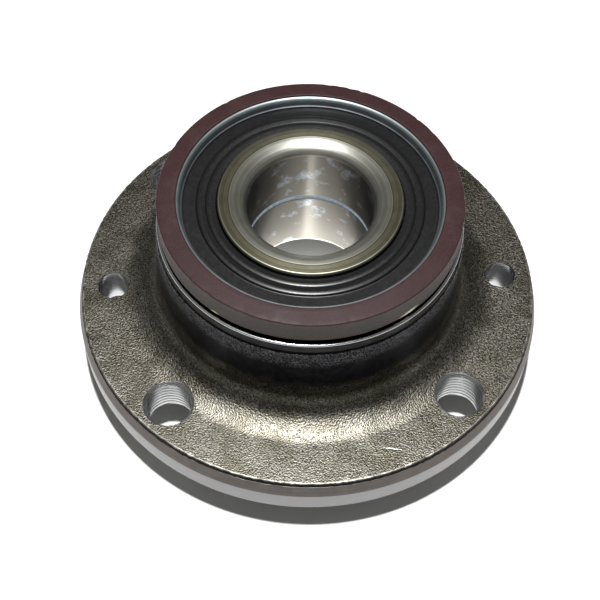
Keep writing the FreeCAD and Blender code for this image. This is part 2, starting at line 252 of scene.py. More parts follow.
@dataclass(frozen=True)
class Steel(Finish):
    """A steel surface: the marks of its tool, and the stains of scale and oil over them."""

    name: str
    cut: Cut
    dark: str
    light: str
    stain: str
    roughness: tuple[float, float]
    mark_width: float
    mark_depth: float
    stain_width: float
    stain_share: float
    contrast: float = 0.16
    sheen: float = 0.0
    film: float = 0.0
    start: float = 0.42
    fade: float = 0.26
    bright_patches: tuple[BrightPatch, ...] = ()

    def shade(self, tree: bpy.types.NodeTree) -> bpy.types.NodeSocket:
        """Build the surface: marks decide colour, gloss and relief, and stains lie over them.

        Args:
            tree: node tree that gets the nodes.

        Returns:
            Socket with the shaded surface.
        """
        pattern = marks(tree, self.cut, self.mark_width, 3.0)
        patches = marks(tree, Cut.BLASTED, self.stain_width, 4.0)
        band = {0: pattern, 1: 0.5 - self.contrast, 2: 0.5 + self.contrast}
        grain = add_node(tree, "MapRange", band)
        tones = {0: grain, 6: linear(self.dark), 7: linear(self.light)}
        tone = add_node(tree, "Mix", tones, 2, data_type="RGBA")
        spread = {0: patches, 1: self.start, 2: self.start + self.fade, 4: self.stain_share}
        stained = add_node(tree, "MapRange", spread)
        over = {0: stained, 6: tone, 7: linear(self.stain)}
        colour = add_node(tree, "Mix", over, 2, data_type="RGBA")
        metal = 1.0
        if self.film:
            metal = add_node(tree, "MapRange", {0: stained, 3: 1.0, 4: 1 - self.film})
        for spot in self.bright_patches:
            colour, metal = spot.rub(tree, colour, metal)
        smooth, rough = self.roughness
        gloss = {0: pattern, 1: MOST[0], 2: MOST[1], 3: smooth, 4: rough}
        bump = {"Strength": 1.0, "Distance": self.mark_depth * METRES, "Height": pattern}
        inputs = {
            "Base Color": colour,
            "Metallic": metal,
            "Roughness": add_node(tree, "MapRange", gloss),
            "Normal": add_node(tree, "Bump", bump),
        }
        if self.sheen:
            inputs["Anisotropic"] = self.sheen
            inputs["Tangent"] = across_marks(tree, self.cut)
        return add_node(tree, "BsdfPrincipled", inputs)


@dataclass(frozen=True)
class Layers(Finish):
    """Surfaces that pass into one another with height, along a ragged line.

    Each line is the height where the next surface takes over, and half of the passage.
    """

    name: str
    surfaces: tuple[Steel, ...]
    lines: tuple[tuple[float, float], ...]
    ragged: float
    wander: float = 4.0

    def shade(self, tree: bpy.types.NodeTree) -> bpy.types.NodeSocket:
        """Build the surfaces, mixed from the lowest up.

        Args:
            tree: node tree that gets the nodes.

        Returns:
            Socket with the shaded surface.
        """
        place = add_node(tree, "TexCoord", out="Object")
        height = add_node(tree, "SeparateXYZ", {0: place}, 2)
        patches = marks(tree, Cut.BLASTED, self.wander, 5.0)
        reach = {0: patches, 1: NEARLY_ALL[0], 2: NEARLY_ALL[1], 3: -self.ragged, 4: self.ragged}
        moved = {0: height, 1: 1 / METRES, 2: add_node(tree, "MapRange", reach)}
        level = add_node(tree, "Math", moved, operation="MULTIPLY_ADD")
        whole = self.surfaces[0].shade(tree)
        for (line, half), surface in zip(self.lines, self.surfaces[1:]):
            share = add_node(tree, "MapRange", {0: level, 1: line - half, 2: line + half})
            whole = add_node(tree, "MixShader", {0: share, 1: whole, 2: surface.shade(tree)})
        return whole


@dataclass(frozen=True)
class Moulding(Finish):
    """A surface that isn't metal: rubber, nylon, bonded magnet powder or grease.

    Its painted glow is light that the surface gives off by itself, though it is no lamp.
    """

    name: str
    dark: str
    light: str
    dust: str
    roughness: tuple[float, float]
    grain_width: float
    grain_depth: float
    dust_width: float
    dust_share: float
    gloss: float = 0.5
    bright_patches: tuple[BrightPatch, ...] = ()
    painted_glow: float = 0.0

    def shade(self, tree: bpy.types.NodeTree) -> bpy.types.NodeSocket:
        """Build the surface: fine grain of the mould, with dust, handling marks and painted
        reflections over it.

        Args:
            tree: node tree that gets the nodes.

        Returns:
            Socket with the shaded surface.
        """
        grain = marks(tree, Cut.BLASTED, self.grain_width, 3.0)
        patches = marks(tree, Cut.BLASTED, self.dust_width, 6.0)
        share = add_node(tree, "MapRange", {0: grain, 1: MOST[0], 2: MOST[1]})
        tones = {0: share, 6: linear(self.dark), 7: linear(self.light)}
        tone = add_node(tree, "Mix", tones, 2, data_type="RGBA")
        dusty = add_node(tree, "MapRange", {0: patches, 1: 0.5, 2: 0.75, 4: self.dust_share})
        over = {0: dusty, 6: tone, 7: linear(self.dust)}
        colour = add_node(tree, "Mix", over, 2, data_type="RGBA")
        metal = 0.0
        for spot in self.bright_patches:
            colour, metal = spot.rub(tree, colour, metal)
        smooth, rough = self.roughness
        gloss = {0: patches, 1: NEARLY_ALL[0], 2: NEARLY_ALL[1], 3: smooth, 4: rough}
        bump = {"Strength": 1.0, "Distance": self.grain_depth * METRES, "Height": grain}
        inputs = {
            "Base Color": colour,
            "Metallic": metal,
            "Roughness": add_node(tree, "MapRange", gloss),
            "Normal": add_node(tree, "Bump", bump),
            "Specular IOR Level": self.gloss,
            # Emission: the painted glow, where one is given
            "Emission Color": linear(self.light),
            "Emission Strength": self.painted_glow,
        }
        return add_node(tree, "BsdfPrincipled", inputs)


# Scratch across the flange, through the scale to bright steel
FLANGE_SCRATCH = BrightPatch((17.4, -48.35, 10.5), (2.9, 0.17, 1.0), -10.0)
# Painted reflections low on the encoder's side: small warm bright patches
PAINTED_REFLECTIONS = (
    BrightPatch((20.3, -29.4, 38.9), (3.3, 1.4, 0.75), 34.0, -9.0, "F4F2DC"),
    BrightPatch((-22.5, -27.7, 38.7), (1.3, 1.2, 0.45), -40.0, 0.0, "F0ECCC"),
)
# Forged flange skin, shot blasted: fine bright dents in a brownish scale
BLASTED_SKIN = Steel(
    "forged_steel_shot_blasted", Cut.PEENED, "33302A", "848178", "3A3624", (0.26, 0.42), 0.37,
    0.100, 9.0, 0.5, 0.18,
    bright_patches=(FLANGE_SCRATCH,),
)
# Neck wall, smooth and black with oil over hardening scale
OILED_SKIN = Steel(
    "forged_steel_hardened_oiled", Cut.BLASTED, "1A1A1D", "2B2B2F", "101012", (0.34, 0.50), 1.2,
    0.03, 5.0, 0.6,
)
# Neck below the turned land: scale with coarse grain, and sparks where it is chipped
GRAINED_SKIN = Steel(
    "forged_steel_scale_grained", Cut.PEENED, "0C0C0E", "66666B", "0E0E10", (0.24, 0.40), 0.40,
    0.14, 2.5, 0.6, 0.13,
)
# Fillet above the flange: darker, browner dents, painted shade where the fillet steepens and turns
# from the lamp, which leave the sparks
SHADED_FILLET_SKIN = Steel(
    "forged_steel_fillet_painted_shade", Cut.PEENED, "1C1912", "85816F", "2A2318", (0.26, 0.42), 0.37, 0.100,
    6.0, 0.5, 0.17,
)
# The forging from its flange to its land, with painted shade on the upper fillet
FORGED_SKIN = Layers(
    "forged_steel",
    (BLASTED_SKIN, SHADED_FILLET_SKIN, OILED_SKIN, GRAINED_SKIN),
    # Heights where the fillet's painted shade, the oiled neck and the grained neck take over
    ((16.9, 3.4), (20.8, 1.6), (29.0, 0.9)),
    0.9,
)
# Rolled edge of the forging, rubbed bright by handling, and lighter still as a painted highlight
# along the edge
RUBBED_EDGE_AND_HIGHLIGHT_SKIN = Steel(
    "forged_steel_rubbed_and_highlight", Cut.BLASTED, "7E7B72", "BDBBB4", "3A362A", (0.36, 0.52), 0.5, 0.05,
    2.0, 0.9, 0.16,
)
# Near black: scale that the shot missed on the burr where the turned rim meets the forged skin, and
# painted shade on the steep part of the rolled edge and on the flat shoulder under the encoder's
# overhang
SCALE_AND_SHADE_SKIN = Steel(
    "forged_steel_scale", Cut.BLASTED, "0E0D0C", "1B1917", "0B0A0A", (0.50, 0.70), 0.5, 0.06,
    3.0, 0.5,
)
# Rim land, fine turned: pale even grey
RIM_LAND = Steel(
    "steel_fine_turned", Cut.TURNED, "7D7C7E", "908F91", "7A7878", (0.26, 0.34), 0.16, 0.003,
    9.0, 0.3, 0.16, 0.5,
)
# Rim taper, rough turned: darker and browner
RIM_TAPER = Steel(
    "steel_rough_turned", Cut.TURNED, "57524F", "726C69", "4E4946", (0.36, 0.48), 0.22, 0.008,
    5.0, 0.5, 0.16, 0.5,
)
# Wheel face, pilot and encoder seat, turned
TURNED = Steel(
    "steel_turned", Cut.TURNED, "8A8A8C", "A6A6A9", "6C6C6E", (0.24, 0.36), 0.20, 0.004, 8.0,
    0.35, 0.16, 0.6,
)
# Bevel of the land, turned last and left bright
BEVEL = Steel(
    "steel_turned_bright", Cut.TURNED, "C4C5C8", "DEDFE2", "A0A1A4", (0.19, 0.26), 0.30, 0.003,
    8.0, 0.35, 0.16,
)
# Land under the encoder, turned and oily
OILED_LAND = Steel(
    "steel_turned_oiled", Cut.TURNED, "363538", "4E4D50", "262526", (0.22, 0.34), 0.20, 0.006,
    2.5, 0.6, 0.16, 0.6,
)
# Inner ring faces, ground: brownish grey film of oil over fine rings
GROUND = Steel(
    "bearing_steel_ground", Cut.TURNED, "7F7C68", "98957F", "706C55", (0.27, 0.35), 0.14, 0.002,
    3.0, 0.5, 0.16, 0.35,
)
# Outer edge of an inner ring, ground round: clean and bright
GROUND_EDGE = Steel(
    "bearing_steel_ground_edge", Cut.TURNED, "7F7E72", "989788", "6A6956", (0.36, 0.46), 0.14,
    0.001, 3.0, 0.4,
)
# Bore mouth of the inner ring, turned before hardening: bright and soft
MOUTH = Steel(
    "bearing_steel_turned", Cut.TURNED, "A3A398", "B8B8B0", "86857A", (0.30, 0.40), 0.2, 0.003,
    5.0, 0.35, 0.16, 0.5,
)
# Bore, ground, with smears of preserving grease gone pale blue
BORE = Steel(
    "bearing_steel_ground_bore", Cut.TURNED, "64615B", "7E7A72", "CDDBE8", (0.28, 0.36), 0.12,
    0.001,
    4.0, 0.9, 0.16, 1.0, 0.9, 0.56,
)
# Raceways, honed: near mirror
HONED = Steel(
    "bearing_steel_honed", Cut.TURNED, "BDBEC0", "CFD0D2", "8E99A6", (0.08, 0.16), 0.10, 0.0008,
    4.0, 0.4,
)
# Balls, lapped: clean mirror
LAPPED = Steel(
    "bearing_steel_lapped", Cut.BLASTED, "D2D3D5", "DEDFE0", "C8CACD", (0.04, 0.08), 2.0,
    0.0002, 5.0, 0.2,
)
# Holes in the flange, drilled and tapped: bright, with fine rings
DRILLED = Steel(
    "steel_drilled", Cut.DRILLED, "C8C9CB", "DEDFE0", "AEAFB3", (0.22, 0.34), 0.3, 0.004, 3.0,
    0.3, 0.16, 0.5,
)
# Locating holes, reamed: near mirror
REAMED = Steel(
    "steel_reamed", Cut.DRILLED, "D0D1D3", "E2E3E4", "B8B9BC", (0.10, 0.18), 0.3, 0.002, 3.0,
    0.3, 0.16, 0.6,
)
# Seal cases, pressed sheet: bluish and smooth
PRESSED = Steel(
    "steel_sheet_pressed", Cut.TURNED, "505458", "686C70", "3A3E42", (0.40, 0.50), 0.8, 0.001,
    3.5, 0.4, 0.16, 0.4,
)
# Encoder carrier, rolled round and bright: cold blue with soft gloss
ROLLED = Steel(
    "stainless_sheet_rolled", Cut.TURNED, "868F93", "A2ABAE", "687174", (0.40, 0.48), 0.8, 0.0005,
    3.5, 0.4, 0.16, 0.5,
)
# Seal lips, moulded nitrile rubber: black with a soft shine
NITRILE = Moulding(
    "nitrile_rubber_moulded", "0B0B0B", "121213", "2A2A2B", (0.28, 0.36), 0.35, 0.001, 0.8, 0.12
)
# Grease packed in the joint between the inner rings: pale blue, soft, with a painted glow that
# lights it in the joint's shade
GREASE = Moulding(
    "preserving_grease_painted_glow", "A9B8C6", "D2E2F0", "4C5864", (0.35, 0.50), 0.9, 0.02, 2.2, 0.9, 0.5,
    painted_glow=0.22,
)
# Cages, moulded nylon: cream
NYLON = Moulding("nylon_moulded", "BDB49B", "CFC7B0", "A89F86", (0.38, 0.5), 0.6, 0.004, 5.0, 0.3)
# Encoder, bonded magnet powder: matt maroon on its end, greyer where it is handled on its side, with
# small painted reflections low on the side
MAGNET_END = Moulding(
    "bonded_ferrite_maroon", "2F1B1C", "3B2627", "4D3A3A", (0.46, 0.58), 0.4, 0.006, 6.0, 0.25,
    0.22,
)
MAGNET_SIDE = Moulding(
    "bonded_ferrite_rubbed", "39302D", "4A403C", "5C524E", (0.42, 0.56), 0.4, 0.008, 3.0, 0.4,
    bright_patches=PAINTED_REFLECTIONS,
)


@dataclass(frozen=True)
class Surface:
    """Mesh data in millimetres: points, four-sided and three-sided faces, and a finish for each."""

    points: np.ndarray
    quads: np.ndarray
    triangles: np.ndarray
    finish: np.ndarray


class Profile:
    """Closed outline of radius and height, with the finish of each run that it was drawn with."""

    def __init__(self, radius: float, height: float) -> None:
        """Start the outline at one point."""
        self.runs = [np.array([[radius, height]])]
        self.marks: list[np.ndarray] = []

    def line(self, radius: float, height: float, finish: int, step: float = 50.0) -> "Profile":
        """Draw a straight run, as points evenly spaced from the last one.

        Args:
            radius: radius of the run's end.
            height: height of the run's end.
            finish: number of the run's finish.
            step: longest distance between points.

        Returns:
            The profile itself.
        """
        last = self.runs[-1][-1]
        end = np.array([radius, height])
        count = max(1, math.ceil(float(np.hypot(*(end - last))) / step))
        share = np.linspace(0, 1, count + 1)[1:, None]
        self.runs.append(last + (end - last) * share)
        self.marks.append(np.full(count, finish))
        return self

    def path(self, finish: int, *ends: tuple[float, float]) -> "Profile":
        """Draw straight runs of one finish, from each end to the next.

        Args:
            finish: number of their finish.
            ends: radius and height of each run's end.

        Returns:
            The profile itself.
        """
        for radius, height in ends:
            self.line(radius, height, finish)
        return self

    def curve(self, radius: np.ndarray, height: np.ndarray, finish: int) -> "Profile":
        """Add a row of points, with a face before each.

        Args:
            radius: the points' radii.
            height: their heights.
            finish: number of the faces' finish.

        Returns:
            The profile itself.
        """
        self.runs.append(np.stack([radius, height], 1))
        self.marks.append(np.full(len(radius), finish))
        return self

    def arc(
        self,
        centre: tuple[float, float],
        size: float,
        start: float,
        end: float,
        finish: int,
        count: int,
    ) -> "Profile":
        """Draw an arc: centre + size (cos a, sin a), for angles a evenly spaced in its range.

        Args:
            centre: radius and height of the arc's centre.
            size: the arc's own radius.
            start: angle from +radius of its start, in degrees.
            end: angle of its end.
            finish: number of its finish.
            count: faces along it.

        Returns:
            The profile itself.
        """
        angle = np.radians(np.linspace(start, end, count + 1))
        run = np.stack([centre[0] + size * np.cos(angle), centre[1] + size * np.sin(angle)], 1)
        gap = float(np.hypot(*(run[0] - self.runs[-1][-1])))
        if gap > 1e-4:
            self.line(run[0][0], run[0][1], finish)
        return self.curve(run[1:, 0], run[1:, 1], finish)

    def closed(self, finish: int, edge: float) -> tuple[np.ndarray, np.ndarray]:
        """Close the outline and break its sharp corners.

        Each corner sharper than SHARP_CORNER becomes a small curve: the corner point is
        replaced by one point on each side of it and one between, a quarter of each side
        point and half of the corner.

        Args:
            finish: number of the finish of the run back to the first point.
            edge: distance from a corner to the points that replace it.

        Returns:
            Points (n, 2), and the finish of the face that follows each point.
        """
        points = np.concatenate(self.runs)
        tags = np.concatenate([*self.marks, [finish]])
        if np.hypot(*(points[-1] - points[0])) < 1e-4:
            points = points[:-1]
            tags = tags[:-1]
        before = np.roll(points, 1, 0) - points
        after = np.roll(points, -1, 0) - points
        size_before = np.hypot(before[:, 0], before[:, 1])
        size_after = np.hypot(after[:, 0], after[:, 1])
        cosine = -(before * after).sum(1) / (size_before * size_after)
        sharp = cosine < math.cos(math.radians(SHARP_CORNER))
        reach = np.minimum(edge, CORNER_SHARE * np.minimum(size_before, size_after))
        first = points + before * (reach / size_before)[:, None]
        last = points + after * (reach / size_after)[:, None]
        middle = 0.25 * first + 0.5 * points + 0.25 * last
        trio = np.stack([first, middle, last], 1)
        trio[~sharp] = points[~sharp][:, None]
        keep = np.repeat(sharp[:, None], 3, 1)
        keep[:, 2] = True
        own = np.stack([np.roll(tags, 1), np.roll(tags, 1), tags], 1)
        return trio[keep], own[keep]


def wobble(
    angle: np.ndarray, along: np.ndarray, seed: int, rounds: tuple[int, int], pitch: float
) -> np.ndarray:
    """Add up waves that run round the hub: mean of cos(n a + k s + p) times the root of 2.

    Args:
        angle: angles round the hub, in a row.
        along: distances along the outline in millimetres, in a column.
        seed: seed of the waves' numbers.
        rounds: fewest and most waves in one turn.
        pitch: shortest wave along the outline, in millimetres.

    Returns:
        Grid of offsets with a mean of 0 and a spread of about 1.
    """
    count = WAVES
    draw = np.random.default_rng(seed)
    order = draw.integers(rounds[0], rounds[1], count)
    slope = draw.uniform(-1, 1, count) * TURN / pitch
    phase = draw.uniform(0, TURN, count)
    total = np.zeros(np.broadcast(angle, along).shape)
    for number in range(count):
        total += np.cos(order[number] * angle + slope[number] * along + phase[number])
    return total * math.sqrt(2 / count)


def turned(
    outline: np.ndarray, tags: np.ndarray, segments: int, shift: np.ndarray | None = None
) -> Surface:
    """Turn a closed outline about the hub axis: (r cos a, r sin a, z) for every point and angle.

    Args:
        outline: points of radius and height, anticlockwise.
        tags: finish of the face after each point, or a grid with one for each face.
        segments: faces round the axis.
        shift: offsets of radius and height for each point and angle.

    Returns:
        A closed ring.
    """
    angle = np.linspace(0, TURN, segments, endpoint=False)[None, :]
    radius = np.repeat(outline[:, :1], segments, 1)
    height = np.repeat(outline[:, 1:], segments, 1)
    if shift is not None:
        radius = radius + shift[..., 0]
        height = height + shift[..., 1]
    points = np.stack([radius * np.cos(angle), radius * np.sin(angle), height], -1)
    rows = len(outline)
    cell = np.arange(rows * segments).reshape(rows, segments)
    right = np.roll(cell, -1, 1)
    above = np.roll(cell, -1, 0)
    quads = np.stack([cell, right, np.roll(above, -1, 1), above], -1).reshape(-1, 4)
    grid = tags if tags.ndim == 2 else np.repeat(tags[:, None], segments, 1)
    return Surface(points.reshape(-1, 3), quads, np.zeros((0, 3), int), grid.reshape(-1))


def capped(grid: np.ndarray, finish: int) -> Surface:
    """Close a tube of rings, whose columns run anticlockwise seen from its last ring.

    Args:
        grid: points (rings, columns, 3).
        finish: number of its finish.

    Returns:
        The tube with a fan of triangles at each end.
    """
    rings, columns = grid.shape[:2]
    cell = np.arange(rings * columns).reshape(rings, columns)
    right = np.roll(cell, -1, 1)
    quads = np.stack([cell[:-1], right[:-1], right[1:], cell[1:]], -1).reshape(-1, 4)
    low = np.full(columns, rings * columns)
    high = low + 1
    under = np.stack([right[0], cell[0], low], 1)
    fans = np.concatenate([under, np.stack([cell[-1], right[-1], high], 1)])
    ends = np.stack([grid[0].mean(0), grid[-1].mean(0)])
    points = np.concatenate([grid.reshape(-1, 3), ends])
    return Surface(points, quads, fans, np.full(len(quads) + len(fans), finish))


def joined(parts: list[Surface]) -> Surface:
    """Put several surfaces into one, each with its point numbers moved past the last one's.

    Args:
        parts: the surfaces.

    Returns:
        The one surface.
    """
    starts = np.cumsum([0] + [len(part.points) for part in parts[:-1]])
    return Surface(
        np.concatenate([part.points for part in parts]),
        np.concatenate([part.quads + start for part, start in zip(parts, starts)]),
        np.concatenate([part.triangles + start for part, start in zip(parts, starts)]),
        np.concatenate(
            [part.finish[: len(part.quads)] for part in parts]
            + [part.finish[len(part.quads) :] for part in parts]
        ),
    )


def make_object(
    name: str, surface: Surface, materials: list[bpy.types.Material]
) -> bpy.types.Object:
    """Put a surface into a new object at the origin, in metres.

    Args:
        name: name of the object.
        surface: its mesh data.
        materials: its finishes, by number.

    Returns:
        The object, smooth shaded.
    """
    mesh = bpy.data.meshes.new(name)
    mesh.vertices.add(len(surface.points))
    mesh.vertices.foreach_set("co", (surface.points * METRES).astype(np.float32).ravel())
    corners = np.concatenate([surface.quads.ravel(), surface.triangles.ravel()])
    starts = np.concatenate(
        [
            np.arange(len(surface.quads)) * 4,
            surface.quads.size + np.arange(len(surface.triangles)) * 3,
        ]
    )
    mesh.loops.add(len(corners))
    mesh.loops.foreach_set("vertex_index", corners.astype(np.int32))
    mesh.polygons.add(len(starts))
    mesh.polygons.foreach_set("loop_start", starts.astype(np.int32))
    mesh.polygons.foreach_set("material_index", surface.finish.astype(np.int32))
    for material in materials:
        mesh.materials.append(material)
    mesh.update(calc_edges=True)
    mesh.validate()
    mesh.shade_smooth()
    made = bpy.data.objects.new(name, mesh)
    bpy.context.scene.collection.objects.link(made)
    return made


def cut_away(target: bpy.types.Object, cutter: bpy.types.Object) -> None:
    """Cut one closed mesh out of another for good, and remove the cutter.

    Args:
        target: object that is cut.
        cutter: object that is taken away, with the target's own finishes by number.
    """
    change = target.modifiers.new("cut", "BOOLEAN")
    change.operation = "DIFFERENCE"
    change.solver = "EXACT"
    change.object = cutter
    graph = bpy.context.evaluated_depsgraph_get()
    mesh = bpy.data.meshes.new_from_object(target.evaluated_get(graph))
    target.modifiers.clear()
    target.data = mesh
    bpy.data.objects.remove(cutter)


def settle(piece: bpy.types.Object, node: str, body: str, sharp: float = 40.0) -> None:
    """Finish a piece: crease its corners, tie it to its body and let it stand for its solid.

    Args:
        piece: the finished object.
        node: solid that it stands for.
        body: body that it moves with.
        sharp: angle between faces that counts as a crease, in degrees.
    """
    piece.data.set_sharp_from_angle(angle=math.radians(sharp))
    weight = piece.modifiers.new("even_shading", "WEIGHTED_NORMAL")
    weight.keep_sharp = True
    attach(piece, body)
    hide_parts(node)
    LOG.info("%s: %d faces on %s", piece.name, len(piece.data.polygons), body)


@dataclass
class Bearing:
    """Sizes that the bearing's pieces share, in millimetres."""

    bore: float = 15.0
    pitch: float = 22.27
    ball: float = 4.3655
    groove: float = 4.3955
    centre: float = 25.2
    ring_width: float = 18.25
    row_offset: float = 8.3
    balls: int = 13
    land: float = 21.7
    seal_floor: float = 39.0955
    inboard_seat: float = 30.6
    outboard_seat: float = 26.9
    outer_shoulder: float = 3.45

    @property
    def face(self) -> float:
        """Height of the inboard inner ring's end face."""
        return self.centre + self.ring_width

    @property
    def row(self) -> float:
        """Height of the inboard row's ball centres."""
        return self.centre + self.row_offset

    def placed(self, surface: Surface, side: Side) -> Surface:
        """Keep a surface drawn for the inboard end, or mirror it for the other.

        The mirror is z' = 2 c - z about the bearing's centre, with the faces turned over.

        Args:
            surface: the surface as drawn.
            side: end of the bearing that it is for.

        Returns:
            The surface at that end.
        """
        if side is Side.INBOARD:
            return surface
        points = surface.points.copy()
        points[:, 2] = 2 * self.centre - points[:, 2]
        return Surface(points, surface.quads[:, ::-1], surface.triangles[:, ::-1], surface.finish)


@dataclass
class FlangedRing:
    """The rotating outer ring: pilot, flange, neck, encoder seat and raceways in one forging."""

    bearing: Bearing
    pilot: float = 29.0
    pilot_end: float = -7.5
    pilot_chamfer: tuple[float, float] = (0.7, 1.4)
    recess_chamfer: float = 0.5
    rim: float = 58.0
    rim_chamfer: float = 0.7
    rim_top: float = 9.3
    lip_rise: float = 0.05
    lip_back: float = 0.1
    rim_taper: float = 0.9
    land_top: float = 6.35
    edge_round: float = 0.6
    burr: float = 0.2
    flange_top: float = 10.5
    neck: float = 37.2
    neck_draft: float = 0.6
    neck_top: float = 33.6
    fillet_tilts: tuple = ((0, 0), (1.4, 8), (6.0, 24), (7.8, 37), (9.8, 58), (13.4, 89))
    land: float = 36.2
    land_low: float = 34.1
    shoulder: float = 36.9
    bevel: tuple[float, float] = (0.6, 0.2)
    cap_seat: float = 27.4
    cap_seat_end: float = 2.0
    seat: float = 33.2
    seat_end: float = 42.2
    seat_chamfer: float = 0.35
    bolt_circle: float = 49.0
    bolt_core: float = 5.45
    thread_depth: float = 0.30
    thread_pitch: float = 1.25
    bolt_chamfer: float = 0.7
    pin_hole: float = 3.75
    pin_chamfer: float = 0.2
    bolt_angles: tuple = (45, 135, 225, 315)
    pin_angles: tuple = (0, 180)
    swell: tuple[float, float] = (0.02, 0.018)
    ragged: tuple[float, float] = (0.035, 0.045)
    crumble: float = 0.07
    skin_step: float = 0.9
    fillet_points: int = 27
    race_faces: int = 14
    broken: float = 0.15
    segments: int = 400

    SKIN = 0
    OILED = 1
    # Near-black scale, also used as painted shade
    SCALE_AND_SHADE = 2
    LAND = 3
    TAPER = 4
    TURNED = 5
    RACE = 6
    THREAD = 7
    EDGE = 8
    BEVEL = 9
    REAMED = 10

    def profile(self) -> Profile:
        """Draw the outline, anticlockwise from the mouth of the recess.

        Returns:
            The outline.
        """
        drawn = Profile(self.cap_seat + self.recess_chamfer, self.pilot_end)
        drawn.path(
            self.TURNED,
            (self.pilot - self.pilot_chamfer[0], self.pilot_end),
            (self.pilot, self.pilot_end + self.pilot_chamfer[1]),
            (self.pilot, 0),
        )
        drawn.line(self.rim - self.rim_chamfer, 0, self.TURNED, 6.0)
        drawn.line(self.rim, self.rim_chamfer, self.TURNED)
        drawn.line(self.rim, self.land_top, self.LAND, 2.0)
        self.draw_forged(drawn)
        self.draw_seats(drawn)
        return drawn

    def draw_forged(self, drawn: Profile) -> None:
        """Draw the taper, the burr over it, the forged flange top, the fillet and the neck.

        Args:
            drawn: the outline so far.
        """
        slope = self.rim_taper / (self.rim_top - self.land_top)
        lip = self.rim_top + self.lip_rise
        drawn.line(self.rim - slope * (lip - self.land_top), lip, self.TAPER, 0.7)
        # Near black: scale on the burr, and painted shade on the steep part of the rolled edge
        drawn.line(self.rim - self.rim_taper - self.burr, lip, self.SCALE_AND_SHADE)
        size = self.edge_round
        middle = (self.rim - self.rim_taper - self.lip_back - size, self.flange_top - size)
        drawn.arc(middle, size, 16, 40, self.SCALE_AND_SHADE, 2)
        # Top of the rolled edge: lighter, a painted highlight over the rubbing
        drawn.arc(middle, size, 40, 90, self.EDGE, 6)
        self.draw_fillet(drawn)
        drawn.line(self.neck - self.neck_draft, self.neck_top, self.SKIN, self.skin_step)

    def draw_fillet(self, drawn: Profile) -> None:
        """Draw the flange top and the fillet, by how far each tilts along its own length.

        Its points add up from the fillet's outer end: dr = -cos t ds and dz = sin t ds, where
        the tilt t runs straight between the fillet's given tilts.

        Args:
            drawn: the outline so far.
        """
        length = np.linspace(0, self.fillet_tilts[-1][0], self.fillet_points)
        given = np.array(self.fillet_tilts)
        tilt = np.radians(np.interp((length[1:] + length[:-1]) / 2, given[:, 0], given[:, 1]))
        step = np.diff(length)
        across = np.cumsum(np.cos(tilt) * step)
        rise = np.cumsum(np.sin(tilt) * step)
        start = self.neck + across[-1]
        drawn.line(start, self.flange_top, self.SKIN, self.skin_step)
        drawn.curve(start - across, self.flange_top + rise, self.SKIN)

    def draw_seats(self, drawn: Profile) -> None:
        """Draw the turned inboard end, the seal seat, both raceways and the recess.

        Args:
            drawn: the outline so far.
        """
        shape = self.bearing
        drawn.line(self.land, self.land_low, self.SCALE_AND_SHADE)
        drawn.line(self.land, self.shoulder - 2 * self.bevel[1], self.OILED)
        wide, high = self.bevel
        drawn.path(
            self.BEVEL,
            (self.land - 0.1 * wide, self.shoulder - high),
            (self.land - wide, self.shoulder),
        )
        # Flat shoulder under the encoder's overhang: near black, painted shade
        drawn.line(self.seat, self.shoulder, self.SCALE_AND_SHADE)
        drawn.path(
            self.TURNED,
            (self.seat, self.seat_end - self.seat_chamfer),
            (self.seat - self.seat_chamfer, self.seat_end),
            (shape.inboard_seat + self.seat_chamfer, self.seat_end),
            (shape.inboard_seat, self.seat_end - self.seat_chamfer),
            (shape.inboard_seat, shape.seal_floor),
        )
        bottom = shape.pitch + shape.groove
        sweep = math.degrees(math.acos((bottom - shape.outer_shoulder - shape.pitch) / shape.groove))
        lower = 2 * shape.centre - shape.row
        drawn.line(bottom, shape.seal_floor, self.TURNED)
        drawn.arc((shape.pitch, shape.row), shape.groove, 0, -sweep, self.RACE, self.race_faces)
        drawn.arc((shape.pitch, lower), shape.groove, sweep, 0, self.RACE, self.race_faces)
        drawn.line(bottom, 2 * shape.centre - shape.seal_floor, self.RACE)
        drawn.line(shape.outboard_seat, 2 * shape.centre - shape.seal_floor, self.TURNED)
        drawn.line(shape.outboard_seat, self.cap_seat_end, self.TURNED, 6.0)
        drawn.line(self.cap_seat, self.cap_seat_end, self.TURNED)
        drawn.line(self.cap_seat, self.pilot_end + self.recess_chamfer, self.TURNED, 6.0)

    def surface(self) -> Surface:
        """Turn the outline, with the forged skin a little uneven and its trimmed edge ragged.

        Returns:
            The ring.
        """
        outline, tags = self.profile().closed(self.TURNED, self.broken)
        angle = np.linspace(0, TURN, self.segments, endpoint=False)[None, :]
        steps = np.hypot(*(np.roll(outline, -1, 0) - outline).T)
        along = (np.cumsum(steps) - steps)[:, None]
        radius, height = outline[:, :1], outline[:, 1:]
        outside = (radius > self.neck - 1) & (height < self.land_low - 0.1)
        forged = (outside & (height > self.rim_top - 0.25)).astype(float)
        edge = forged * np.clip((radius - 55.6) / 1.2, 0, 1)
        crown = forged * np.clip((height - 30.5) / 2.5, 0, 1)
        wall = radius <= self.neck + 1
        swell = wobble(angle, along, 3, (2, 40), 8.0)
        shift = np.zeros((len(outline), self.segments, 2))
        shift[..., 1] = forged * ~wall * self.swell[1] * swell
        shift[..., 0] = forged * wall * self.swell[0] * swell
        shift[..., 1] += edge * self.ragged[1] * wobble(angle, along, 5, (60, 230), 2.5)
        shift[..., 0] += edge * self.ragged[0] * wobble(angle, along, 7, (90, 230), 4.0)
        shift[..., 0] += crown * self.crumble * wobble(angle, along, 9, (80, 230), 1.5)
        return turned(outline, tags, self.segments, shift)

